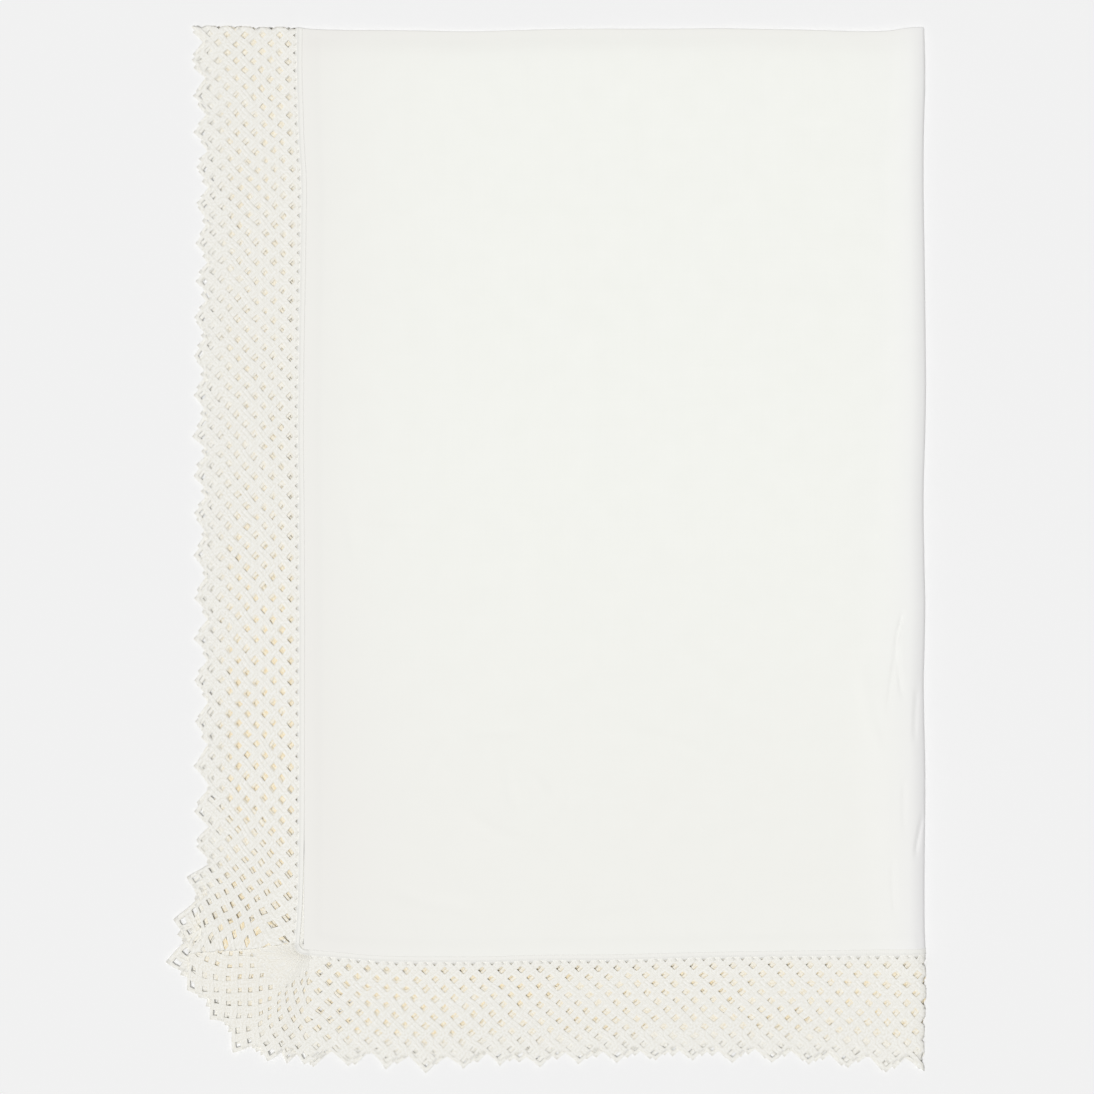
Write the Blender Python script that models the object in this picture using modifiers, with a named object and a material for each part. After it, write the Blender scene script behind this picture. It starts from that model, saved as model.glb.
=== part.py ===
"""A linen tablecloth with a knotted macrame lace border, folded in quarters and lying flat.

The cloth is worked out flat first: "across" is the distance from its long middle line and
"along" the distance from its short middle line.  It is folded once on the short middle line
(the crease at +Y) and then on the long middle line (the soft roll at +X), so four layers lie
on each other.  Metres, +Z up, origin on the table under the middle of the folded cloth.
"""
import math

import bmesh
import bpy
import numpy as np

# Linen panel and sheets
PANEL_HALF_WIDTH = 0.749
PANEL_HALF_LENGTH = 1.109
PANEL_CORNER_RADIUS = 0.010
SHEET_THICKNESS = 0.0013
LAYER_PITCH = 0.0024
SEAM_GAP = 0.0005

# Lace border: cells counted from the middle of a long side to the middle of a short side
SIDE_CELLS = 46
CORNER_CELLS = 12
END_CELLS = 32
QUARTER_CELLS = SIDE_CELLS + CORNER_CELLS + END_CELLS
TOOTH_CELLS = 2
ROWS_TO_TIP = 12
ROWS_TO_VALLEY = 10
SIDE_REACH = 0.1335
END_REACH = 0.1440
LACE_ROWS = 3

# The place of the two folds, before the origin is moved under the middle
FOLD_X = 0.4560
FOLD_Y = 0.6310
FIRST_FOLD_RADIUS = LAYER_PITCH / 2
SECOND_FOLD_RADIUS = LAYER_PITCH
FIRST_FOLD_STEPS = 2
SECOND_FOLD_STEPS = 3
PANEL_STEPS_ACROSS = 10
PANEL_STEPS_ALONG = 12

# A row for each layer, bottom one first.
# slip_x, slip_y: how far the layer's free corner is pulled out of line with the folds
# flare: how much of the gathered corner's spread the layer takes
# side_drift, end_drift: how far the lace is pushed towards the corner in the middle of a side
LAYERS = (
    {"slip_x": 0.0010, "slip_y": -0.0015, "flare": 1.00, "side_drift": -0.022, "end_drift": 0.012},
    {"slip_x": -0.0025, "slip_y": 0.0010, "flare": 0.60, "side_drift": -0.046, "end_drift": -0.009},
    {"slip_x": -0.0010, "slip_y": -0.0030, "flare": 0.85, "side_drift": -0.029, "end_drift": 0.006},
    {"slip_x": 0.0000, "slip_y": 0.0000, "flare": 0.75, "side_drift": -0.035, "end_drift": 0.001},
)

# The gathered corner's outline: how far the lace spreads past its depth on the straight sides
CORNER_SPREAD = (
    {"cell": 37, "spread": 0.000},
    {"cell": 41, "spread": 0.006},
    {"cell": 44, "spread": 0.021},
    {"cell": 47, "spread": 0.030},
    {"cell": 50, "spread": 0.012},
    {"cell": 54, "spread": 0.015},
    {"cell": 58, "spread": 0.003},
    {"cell": 61, "spread": 0.000},
)

# The first fold's line: how far it lies back from the lace's tip at each place along X
FIRST_FOLD_LINE = (
    {"x": -0.430, "back": 0.0000},
    {"x": -0.315, "back": 0.0004},
    {"x": -0.280, "back": 0.0045},
    {"x": -0.190, "back": 0.0078},
    {"x": -0.060, "back": 0.0078},
    {"x": 0.030, "back": 0.0050},
    {"x": 0.210, "back": 0.0055},
    {"x": 0.360, "back": 0.0085},
    {"x": 0.420, "back": 0.0065},
    {"x": 0.455, "back": 0.0020},
)

# The second fold's roll: how far it stands out, how wide the roll is and how much it puffs up
SECOND_FOLD_ROLL = (
    {"y": 0.630, "out": -0.0040, "width": 0.016, "puff": 0.20},
    {"y": 0.600, "out": 0.0002, "width": 0.018, "puff": 0.35},
    {"y": 0.550, "out": 0.0012, "width": 0.020, "puff": 0.45},
    {"y": 0.450, "out": -0.0008, "width": 0.022, "puff": 0.50},
    {"y": 0.200, "out": 0.0018, "width": 0.024, "puff": 0.50},
    {"y": 0.070, "out": -0.0008, "width": 0.026, "puff": 0.55},
    {"y": 0.040, "out": 0.0018, "width": 0.028, "puff": 0.60},
    {"y": -0.070, "out": 0.0000, "width": 0.034, "puff": 0.70},
    {"y": -0.200, "out": 0.0008, "width": 0.042, "puff": 0.80},
    {"y": -0.400, "out": 0.0010, "width": 0.034, "puff": 0.70},
    {"y": -0.560, "out": 0.0030, "width": 0.024, "puff": 0.45},
    {"y": -0.630, "out": 0.0020, "width": 0.020, "puff": 0.30},
)

# The gathered corner's pleats: soft ridges that run out from the panel's corner.
# turn: the ridge's direction in degrees, from the long side's outward direction
CORNER_PLEATS = (
    {"turn": -16.0, "half_angle": 9.0, "puff": 0.45},
    {"turn": 4.0, "half_angle": 8.0, "puff": 0.75},
    {"turn": 38.0, "half_angle": 10.0, "puff": 0.40},
    {"turn": 74.0, "half_angle": 11.0, "puff": 0.50},
)
PLEAT_START = 0.020
PLEAT_FULL = 0.090
PLEAT_FADES = 0.160
PLEAT_END = 0.200


def column(table, name):
    """One named column of a table, as an array."""
    return np.array([row[name] for row in table])


def smooth_step(value, low, high):
    """0 below low, 1 above high, and an even S curve between them."""
    share = np.clip((value - low) / (high - low), 0.0, 1.0)
    return share * share * (3.0 - 2.0 * share)


def mirrored(half):
    """A list of distances from the middle line, made whole on both sides of it."""
    half = np.sort(np.asarray(half))
    return np.concatenate([-half[::-1], half[half > 0.0]])


def half_stations(half_size, steps, fold_radius, fold_steps):
    """Distances from a fold's middle: the fold's half turn, even steps, and the hem's corner."""
    half_arc = math.pi * fold_radius / 2
    in_fold = np.linspace(0.0, half_arc, fold_steps + 1)
    straight = np.linspace(half_arc, half_size - PANEL_CORNER_RADIUS, steps + 1)[1:]
    return np.concatenate([in_fold, straight, [half_size]])


def layer_value(name, across, along):
    """A layer's own value at a place in the flat cloth: each quarter of it is one layer."""
    values = column(LAYERS, name)
    layer = np.where(across < 0.0, np.where(along < 0.0, 0, 1), np.where(along < 0.0, 3, 2))
    return values[layer]


def fold(across, along):
    """Folds flat places: a tight turn at the first fold, then a wider one at the second.

    The pair of layers that the first fold makes is carried round the second fold as one
    sheet, and each of its two layers lies half a layer's pitch to its side.
    """
    first_arc = math.pi * FIRST_FOLD_RADIUS / 2
    in_first = np.clip(along, -first_arc, first_arc)
    first_turn = in_first / FIRST_FOLD_RADIUS
    to_corner = np.abs(across * along) / (PANEL_HALF_WIDTH * PANEL_HALF_LENGTH)
    slip_y = layer_value("slip_y", across, along) * to_corner
    y = FOLD_Y - FIRST_FOLD_RADIUS * (1.0 - np.cos(first_turn)) - np.abs(along - in_first) - slip_y
    side = -FIRST_FOLD_RADIUS * np.sin(first_turn)

    second_arc = math.pi * SECOND_FOLD_RADIUS / 2
    in_second = np.clip(across, -second_arc, second_arc)
    second_turn = in_second / SECOND_FOLD_RADIUS
    slip_x = layer_value("slip_x", across, along) * to_corner
    reach = SECOND_FOLD_RADIUS * np.cos(second_turn) + side * np.cos(second_turn)
    widest = SECOND_FOLD_RADIUS + FIRST_FOLD_RADIUS
    x = FOLD_X - widest + reach - np.abs(across - in_second) - slip_x
    middle_z = SHEET_THICKNESS / 2 + 1.5 * LAYER_PITCH
    z = middle_z + (SECOND_FOLD_RADIUS + side) * np.sin(second_turn)
    return x, y, z


def puff(x, y):
    """How much the stack of layers stands up loosely, as a share of its own height.

    A half-round roll follows the second fold, and ridges fan out from the gathered corner.
    """
    roll_y = column(SECOND_FOLD_ROLL, "y")[::-1]
    width = np.interp(y, roll_y, column(SECOND_FOLD_ROLL, "width")[::-1])
    height = np.interp(y, roll_y, column(SECOND_FOLD_ROLL, "puff")[::-1])
    from_fold = np.clip((FOLD_X - x) / width, 0.0, 2.0)
    total = height * (1.0 + np.cos(math.pi * from_fold / 2)) / 2

    out_x = FOLD_X - PANEL_HALF_WIDTH - x
    out_y = FOLD_Y - PANEL_HALF_LENGTH - y
    distance = np.hypot(out_x, out_y)
    direction = np.degrees(np.arctan2(out_y, out_x))
    rise = smooth_step(distance, PLEAT_START, PLEAT_FULL)
    reach = rise * (1.0 - smooth_step(distance, PLEAT_FADES, PLEAT_END))
    for pleat in CORNER_PLEATS:
        from_ridge = np.clip(np.abs(direction - pleat["turn"]) / pleat["half_angle"], 0.0, 1.0)
        total = total + pleat["puff"] * reach * (1.0 + np.cos(math.pi * from_ridge)) / 2
    return total


def settle(x, y, z):
    """Gives the folded cloth its uneven outline and its loose places; its underside stays flat."""
    lace_left = FOLD_X - PANEL_HALF_WIDTH
    panel_bottom = FOLD_Y - PANEL_HALF_LENGTH
    back = np.interp(x, column(FIRST_FOLD_LINE, "x"), column(FIRST_FOLD_LINE, "back"))
    towards_first = np.clip((y - panel_bottom) / PANEL_HALF_LENGTH, 0.0, 1.0)
    roll_y = column(SECOND_FOLD_ROLL, "y")[::-1]
    out = np.interp(y, roll_y, column(SECOND_FOLD_ROLL, "out")[::-1])
    towards_second = np.clip((x - lace_left) / PANEL_HALF_WIDTH, 0.0, 1.0)
    underside = SHEET_THICKNESS / 2
    settled_z = underside + (z - underside) * (1.0 + puff(x, y))
    return x + out * towards_second, y - back * towards_first, settled_z


def panel_place(column_share, row_share):
    """The flat place of a panel vertex from its column and row, with the hem's corners rounded."""
    across = mirrored(half_stations(PANEL_HALF_WIDTH, PANEL_STEPS_ACROSS,
                                    SECOND_FOLD_RADIUS, SECOND_FOLD_STEPS))[column_share]
    along = mirrored(half_stations(PANEL_HALF_LENGTH, PANEL_STEPS_ALONG,
                                   FIRST_FOLD_RADIUS, FIRST_FOLD_STEPS))[row_share]
    corner = (np.abs(across) == PANEL_HALF_WIDTH) & (np.abs(along) == PANEL_HALF_LENGTH)
    pull = np.where(corner, PANEL_CORNER_RADIUS * (1.0 - math.sqrt(0.5)), 0.0)
    return across - np.sign(across) * pull, along - np.sign(along) * pull


def quarter_cells():
    """Where the lace has a column of points in one quarter, counted in cells.

    There is one at each tooth's tip and valley, and a few more in the folds' turns.
    """
    first_arc = math.pi * FIRST_FOLD_RADIUS / 2
    side_pitch = PANEL_HALF_LENGTH / SIDE_CELLS
    in_first = np.linspace(0.0, first_arc / side_pitch, FIRST_FOLD_STEPS + 1)
    second_arc = math.pi * SECOND_FOLD_RADIUS / 2
    end_pitch = PANEL_HALF_WIDTH / END_CELLS
    in_second = QUARTER_CELLS - np.linspace(second_arc / end_pitch, 0.0, SECOND_FOLD_STEPS + 1)
    teeth = np.arange(1, QUARTER_CELLS)
    return np.concatenate([in_first, teeth, in_second])


def ring_cells():
    """The lace's columns all the way round the cloth, and the quarter that each lies in."""
    quarter = quarter_cells()
    cells, across_sign, along_sign = [], [], []
    for number, signs in enumerate(((1, 1), (-1, 1), (-1, -1), (1, -1))):
        steps = quarter[:-1] if number % 2 == 0 else quarter[:0:-1]
        cells.append(steps)
        across_sign.append(np.full(len(steps), signs[0]))
        along_sign.append(np.full(len(steps), signs[1]))
    return np.concatenate(cells), np.concatenate(across_sign), np.concatenate(along_sign)


def lace_place(column_share, row_share):
    """The flat place of a lace vertex from its column round the cloth and its row outwards.

    The heading follows the panel's hem a small gap away.  The outer row steps out to each
    tooth's tip and in to each valley.  At a corner the columns fan out like the spokes of a
    wheel, and the lace spreads a little past its depth on the straight sides.
    """
    cells, across_signs, along_signs = ring_cells()
    ring = column_share % len(cells)
    cell, across_sign, along_sign = cells[ring], across_signs[ring], along_signs[ring]
    flare = layer_value("flare", across_sign, along_sign)
    spread = flare * np.interp(cell, column(CORNER_SPREAD, "cell"), column(CORNER_SPREAD, "spread"))

    from_tip = np.abs(cell - TOOTH_CELLS * np.round(cell / TOOTH_CELLS))
    edge_rows = ROWS_TO_TIP - (ROWS_TO_TIP - ROWS_TO_VALLEY) * from_tip
    share = row_share / LACE_ROWS * edge_rows / ROWS_TO_TIP

    turn = np.clip((cell - SIDE_CELLS) / CORNER_CELLS, 0.0, 1.0) * math.pi / 2
    reach = SIDE_REACH * np.cos(turn) ** 2 + END_REACH * np.sin(turn) ** 2 + spread
    out = PANEL_CORNER_RADIUS + SEAM_GAP + share * reach

    side_share = np.clip(cell / SIDE_CELLS, 0.0, 1.0)
    side_drift = 4.0 * layer_value("side_drift", across_sign, along_sign) * side_share * (1.0 - side_share)
    end_share = np.clip((QUARTER_CELLS - cell) / END_CELLS, 0.0, 1.0)
    end_drift = 4.0 * layer_value("end_drift", across_sign, along_sign) * end_share * (1.0 - end_share)
    across = (PANEL_HALF_WIDTH - PANEL_CORNER_RADIUS) * end_share + end_drift
    along = (PANEL_HALF_LENGTH - PANEL_CORNER_RADIUS) * side_share + side_drift
    return across_sign * (across + out * np.cos(turn)), along_sign * (along + out * np.sin(turn))


def sheet(name, columns, rows, place, material):
    """A sheet of cloth: a grid folded into place, with the cloth's thickness on it."""
    mesh = bpy.data.meshes.new(name)
    grid = bmesh.new()
    bmesh.ops.create_grid(grid, x_segments=columns, y_segments=rows, size=1.0)
    corners = np.array([vertex.co[:2] for vertex in grid.verts])
    column_share = np.rint((corners[:, 0] + 1.0) * columns / 2).astype(int)
    row_share = np.rint((corners[:, 1] + 1.0) * rows / 2).astype(int)
    x, y, z = settle(*fold(*place(column_share, row_share)))
    for vertex, position in zip(grid.verts, np.stack([x, y, z], axis=1)):
        vertex.co = position
    bmesh.ops.remove_doubles(grid, verts=grid.verts, dist=0.00001)
    bmesh.ops.recalc_face_normals(grid, faces=grid.faces)
    grid.to_mesh(mesh)
    grid.free()
    mesh.materials.append(material)
    mesh.shade_smooth()
    piece = bpy.data.objects.new(name, mesh)
    bpy.data.collections["tablecloth"].objects.link(piece)
    thickness = piece.modifiers.new("cloth thickness", "SOLIDIFY")
    thickness.thickness = SHEET_THICKNESS
    thickness.offset = 0.0
    return piece


def cloth_material(name, colour, roughness):
    """A plain matt cloth."""
    material = bpy.data.materials.new(name)
    material.use_nodes = True
    shader = material.node_tree.nodes["Principled BSDF"]
    shader.inputs["Base Color"].default_value = (*colour, 1.0)
    shader.inputs["Roughness"].default_value = roughness
    shader.inputs["Metallic"].default_value = 0.0
    return material


def centre_on_table(pieces):
    """Moves the cloth so that the middle of its footprint is at the origin.

    The two folds stand out half the cloth's thickness past the sheets' middle surfaces.
    """
    points = np.array([vertex.co for piece in pieces for vertex in piece.data.vertices])
    middle = (points.min(axis=0) + points.max(axis=0) + SHEET_THICKNESS / 2) / 2
    for piece in pieces:
        for vertex in piece.data.vertices:
            vertex.co.x -= middle[0]
            vertex.co.y -= middle[1]


def build():
    """Makes the linen panel and the lace border."""
    for old in list(bpy.data.objects):
        bpy.data.objects.remove(old)
    collection = bpy.data.collections.new("tablecloth")
    bpy.context.scene.collection.children.link(collection)

    linen = cloth_material("bleached linen", (0.88, 0.88, 0.85), 0.90)
    cotton = cloth_material("natural cotton cord", (0.86, 0.84, 0.78), 0.85)

    columns = 2 * (SECOND_FOLD_STEPS + PANEL_STEPS_ACROSS + 1)
    rows = 2 * (FIRST_FOLD_STEPS + PANEL_STEPS_ALONG + 1)
    panel = sheet("linen_panel", columns, rows, panel_place, linen)
    lace = sheet("lace_border", len(ring_cells()[0]), LACE_ROWS, lace_place, cotton)
    centre_on_table([panel, lace])


build()
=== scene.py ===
"""A plain linen tablecloth with a knotted macrame lace border, folded in quarters and laid flat.

The linen is cut and hemmed, the lace is knotted as one long strip, sewn round the hem and
gathered at the corners, and the whole cloth is then folded twice, into four layers.
"""
import math

import bpy
import numpy as np
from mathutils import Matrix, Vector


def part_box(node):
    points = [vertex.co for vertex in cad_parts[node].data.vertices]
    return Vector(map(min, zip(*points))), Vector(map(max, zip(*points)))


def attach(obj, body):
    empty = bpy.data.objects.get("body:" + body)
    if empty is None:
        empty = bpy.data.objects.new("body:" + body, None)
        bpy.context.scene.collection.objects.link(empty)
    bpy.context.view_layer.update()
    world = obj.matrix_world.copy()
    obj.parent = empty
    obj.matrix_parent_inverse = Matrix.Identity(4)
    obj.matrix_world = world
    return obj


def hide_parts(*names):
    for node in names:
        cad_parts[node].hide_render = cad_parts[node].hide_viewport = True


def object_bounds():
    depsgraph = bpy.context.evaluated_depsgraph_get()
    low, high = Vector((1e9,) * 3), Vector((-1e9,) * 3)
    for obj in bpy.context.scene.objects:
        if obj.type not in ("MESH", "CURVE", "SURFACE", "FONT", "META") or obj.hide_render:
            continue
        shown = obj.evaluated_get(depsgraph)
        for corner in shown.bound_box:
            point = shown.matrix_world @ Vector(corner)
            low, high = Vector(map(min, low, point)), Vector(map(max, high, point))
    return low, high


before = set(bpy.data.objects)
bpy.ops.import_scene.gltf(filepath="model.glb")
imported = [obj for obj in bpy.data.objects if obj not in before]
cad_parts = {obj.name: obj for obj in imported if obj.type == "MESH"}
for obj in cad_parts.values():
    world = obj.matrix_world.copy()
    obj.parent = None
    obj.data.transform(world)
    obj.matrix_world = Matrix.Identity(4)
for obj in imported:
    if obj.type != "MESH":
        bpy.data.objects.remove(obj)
cad_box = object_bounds()
scene = bpy.context.scene


# ----------------------------------------------------------
# The stage: a plain pale table top, wide soft light from above, and a camera looking straight
# down on the folded cloth.
# ----------------------------------------------------------
CAMERA_HEIGHT = 4.0
VIEW_WIDTH = 1.3200
VIEW_CENTRE = (-0.0004, -0.0023)
SENSOR_WIDTH = 36.0
CLOTH_HEIGHT = cad_box[1].z


def feed(tree, node, inputs):
    """Fill in a node's inputs, each with a plain value or with another node's output."""
    for name, value in inputs.items():
        if isinstance(value, bpy.types.NodeSocket):
            tree.links.new(value, node.inputs[name])
        else:
            node.inputs[name].default_value = value
    return node


camera_data = bpy.data.cameras.new("camera above the cloth")
camera_data.sensor_width = SENSOR_WIDTH
camera_data.lens = SENSOR_WIDTH * (CAMERA_HEIGHT - CLOTH_HEIGHT) / VIEW_WIDTH
camera = bpy.data.objects.new("camera_above", camera_data)
camera.location = (*VIEW_CENTRE, CAMERA_HEIGHT)
scene.collection.objects.link(camera)
bpy.context.scene.camera = camera
scene.view_settings.view_transform = "Standard"

TABLE_HALF_SIZE = 60.0
TABLE_TOP = -0.0002
TABLE_COLOUR = (0.945, 0.945, 0.945, 1.0)
TABLE_CORNERS = ((-1, -1), (1, -1), (1, 1), (-1, 1))
table_mesh = bpy.data.meshes.new("table_top")
table_mesh.from_pydata(
    [(x * TABLE_HALF_SIZE, y * TABLE_HALF_SIZE, TABLE_TOP) for x, y in TABLE_CORNERS],
    [], [(0, 1, 2, 3)])
table = bpy.data.objects.new("table_top", table_mesh)
scene.collection.objects.link(table)
table_finish = bpy.data.materials.new("pale table")
table_finish.use_nodes = True
feed(table_finish.node_tree, table_finish.node_tree.nodes["Principled BSDF"],
     {"Base Color": TABLE_COLOUR, "Roughness": 0.9, "Specular IOR Level": 0.0})
table_mesh.materials.append(table_finish)

SKY_STRENGTH = 0.28
sky = bpy.data.worlds.new("even studio light")
sky.use_nodes = True
feed(sky.node_tree, sky.node_tree.nodes["Background"],
     {"Color": (1.0, 1.0, 1.0, 1.0), "Strength": SKY_STRENGTH})
scene.world = sky

# The key light is broad and far away, so the table is lit evenly from edge to edge
KEY_POWER = 2.10
KEY_BREADTH = math.radians(22.0)
KEY_FROM = (-0.18, -0.12, 1.0)
key_data = bpy.data.lights.new("broad_key", "SUN")
key_data.energy = KEY_POWER
key_data.angle = KEY_BREADTH
key = bpy.data.objects.new("broad_key", key_data)
key_lean = math.atan2(math.hypot(KEY_FROM[0], KEY_FROM[1]), KEY_FROM[2])
key.rotation_euler = (0.0, key_lean, math.atan2(KEY_FROM[1], KEY_FROM[0]))
scene.collection.objects.link(key)


# ----------------------------------------------------------
# The linen panel: one width of plain-woven bleached linen with a narrow turned hem, folded
# across its length first, which leaves a crisp crease, and then across its width, which leaves
# a soft roll.  Flat places are "across" from the long middle line and "along" from the short one.
# ----------------------------------------------------------
PANEL_HALF_WIDTH = 0.750
PANEL_HALF_LENGTH = 1.116
LAYER_PITCH = 0.0024
BOTTOM_SHEET = 0.00065
FIRST_FOLD_RADIUS = LAYER_PITCH / 2
SECOND_FOLD_RADIUS = LAYER_PITCH
FOLD_INSET = 0.0012
FOLD_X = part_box("linen_panel")[1].x - FOLD_INSET
FOLD_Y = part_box("lace_border")[1].y - BOTTOM_SHEET


def table_of(names, *rows):
    """A table as a list of dictionaries, from its columns' names and its rows of values."""
    return [dict(zip(names.split(), row)) for row in rows]


# How far each layer's free corner is pulled out of line with the folds, bottom layer first
LAYER_SLIP = table_of(
    "x y",
    (0.001, -0.0015), (-0.0025, 0.001), (-0.001, -0.003), (0.0, 0.0))

# The first fold's line: how far it lies back from the lace's tip, and how much the stack thins
# as it nears the crease
FIRST_FOLD_LINE = table_of(
    "x back droop",
    (-0.432, -0.001, 0.25), (-0.383, -0.0006, 0.25), (-0.347, 0.0008, 0.25),
    (-0.31, 0.001, 0.27), (-0.286, 0.0036, 0.3), (-0.25, 0.0049, 0.38),
    (-0.202, 0.0051, 0.46), (-0.154, 0.0056, 0.52), (-0.093, 0.0066, 0.58),
    (-0.033, 0.0049, 0.6), (0.027, 0.0035, 0.58), (0.148, 0.0034, 0.49), (0.208, 0.003, 0.42),
    (0.269, 0.004, 0.4), (0.329, 0.0052, 0.38), (0.377, 0.0066, 0.34), (0.413, 0.0057, 0.31),
    (0.438, 0.0023, 0.27), (0.453, 0.0013, 0.25))
FIRST_FOLD_SLOPE = 0.030

# How far the second fold's line stands out
SECOND_FOLD_LINE = table_of(
    "y out",
    (-0.633, 0.001), (-0.585, 0.0012), (-0.549, 0.003), (-0.452, 0.0005), (-0.404, 0.0005),
    (-0.308, 0.0014), (-0.259, 0.0012), (-0.211, 0.0001), (-0.163, -0.0005), (-0.115, 0.0007),
    (-0.066, 0.0014), (-0.03, 0.0005), (0.006, -0.0001), (0.042, -0.0007), (0.079, -0.0004),
    (0.115, 0.0008), (0.199, 0.0024), (0.247, 0.0019), (0.356, 0.0005), (0.416, -0.0005),
    (0.501, -0.0004), (0.561, 0.0013), (0.627, 0.0003))

# The second fold's roll: how wide it is, how much it puffs up, and how much the stack thins
# again over the fold's own edge
SECOND_FOLD_ROLL = table_of(
    "y width puff droop",
    (-0.633, 0.02, 0.3, 0.42), (-0.563, 0.024, 0.45, 0.55), (-0.403, 0.034, 0.7, 0.88),
    (-0.203, 0.042, 0.8, 0.9), (-0.073, 0.034, 0.7, 0.85), (0.037, 0.028, 0.6, 0.8),
    (0.197, 0.024, 0.5, 0.76), (0.447, 0.022, 0.5, 0.72), (0.547, 0.02, 0.45, 0.62),
    (0.597, 0.018, 0.35, 0.52), (0.627, 0.016, 0.2, 0.36))
SECOND_FOLD_SLOPE = 0.019

# How far the short sides' hems, and the lace's tips below them, hang past their true lines
HANGING_LINE = table_of(
    "x hem tip",
    (-0.293, 0.001, -0.001), (-0.255, 0.0043, -0.0011), (-0.208, 0.0085, 0.0004),
    (-0.163, 0.0098, 0.0051), (-0.12, 0.0099, 0.0045), (-0.069, 0.0098, -0.0011),
    (-0.022, 0.0082, 0.0004), (0.025, 0.0077, -0.003), (0.071, 0.0076, -0.0052),
    (0.126, 0.0062, -0.007), (0.221, 0.004, -0.007), (0.271, 0.0032, -0.0058),
    (0.319, 0.0027, -0.0025), (0.365, 0.002, 0.0008), (0.412, 0.0012, 0.0059),
    (0.457, 0.0005, 0.0031))
LACE_DEPTH = 0.137

# How far the long side's hem lies in from its true line
SIDE_LINE = table_of(
    "y in",
    (-0.482, 0.0), (-0.416, 0.0006), (-0.187, 0.0012), (0.054, 0.0007), (0.115, 0.0),
    (0.175, 0.0001), (0.235, 0.0007), (0.296, 0.0017), (0.344, 0.0026), (0.392, 0.0032),
    (0.44, 0.0036), (0.489, 0.0009), (0.531, -0.0005), (0.567, -0.0016), (0.622, -0.0016))


def column(rows, name):
    """One named column of a table, as an array."""
    return np.array([row[name] for row in rows])


def smooth_through(rows, key, name, at):
    """A soft curve through a table's rows: cubic pieces that share a slope where they meet."""
    places, values = column(rows, key), column(rows, name)
    slopes = np.gradient(values, places)
    left = np.clip(np.searchsorted(places, at) - 1, 0, len(places) - 2)
    span = places[left + 1] - places[left]
    share = np.clip((at - places[left]) / span, 0.0, 1.0)
    start = (2 * share**3 - 3 * share**2 + 1) * values[left]
    end = (3 * share**2 - 2 * share**3) * values[left + 1]
    leave = (share**3 - 2 * share**2 + share) * span * slopes[left]
    arrive = (share**3 - share**2) * span * slopes[left + 1]
    return start + end + leave + arrive


def hump(distance, half_width):
    """A soft hump across a line: one at the line, none past half_width, a cosine between."""
    return (1.0 + np.cos(math.pi * np.clip(np.abs(distance) / half_width, 0.0, 1.0))) / 2


def ease(share):
    """A soft step from zero to one: three times the square less twice the cube."""
    share = np.clip(share, 0.0, 1.0)
    return share**2 * (3.0 - 2.0 * share)


def folded(across, along):
    """The flat cloth's middle surface carried round the two folds.

    Across the first fold it is a straight run, a half circle and a straight run back.  That pair
    of layers, as one sheet, is carried round the second fold in the same way, each of its two
    layers half a pitch to its side.
    """
    first_arc = math.pi * FIRST_FOLD_RADIUS / 2
    in_first = np.clip(along, -first_arc, first_arc)
    first_turn = in_first / FIRST_FOLD_RADIUS
    second_arc = math.pi * SECOND_FOLD_RADIUS / 2
    in_second = np.clip(across, -second_arc, second_arc)
    second_turn = in_second / SECOND_FOLD_RADIUS
    layer = np.where(across < 0.0, np.where(along < 0.0, 0, 1), np.where(along < 0.0, 3, 2))
    to_corner = np.abs(across * along) / (PANEL_HALF_WIDTH * PANEL_HALF_LENGTH)
    y = FOLD_Y - FIRST_FOLD_RADIUS * (1.0 - np.cos(first_turn)) - np.abs(along - in_first)
    side = -FIRST_FOLD_RADIUS * np.sin(first_turn)
    widest = SECOND_FOLD_RADIUS + FIRST_FOLD_RADIUS
    radius = SECOND_FOLD_RADIUS + side
    x = FOLD_X - widest + radius * np.cos(second_turn) - np.abs(across - in_second)
    z = BOTTOM_SHEET + 1.5 * LAYER_PITCH + radius * np.sin(second_turn)
    return (x - column(LAYER_SLIP, "x")[layer] * to_corner,
            y - column(LAYER_SLIP, "y")[layer] * to_corner, z)


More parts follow.
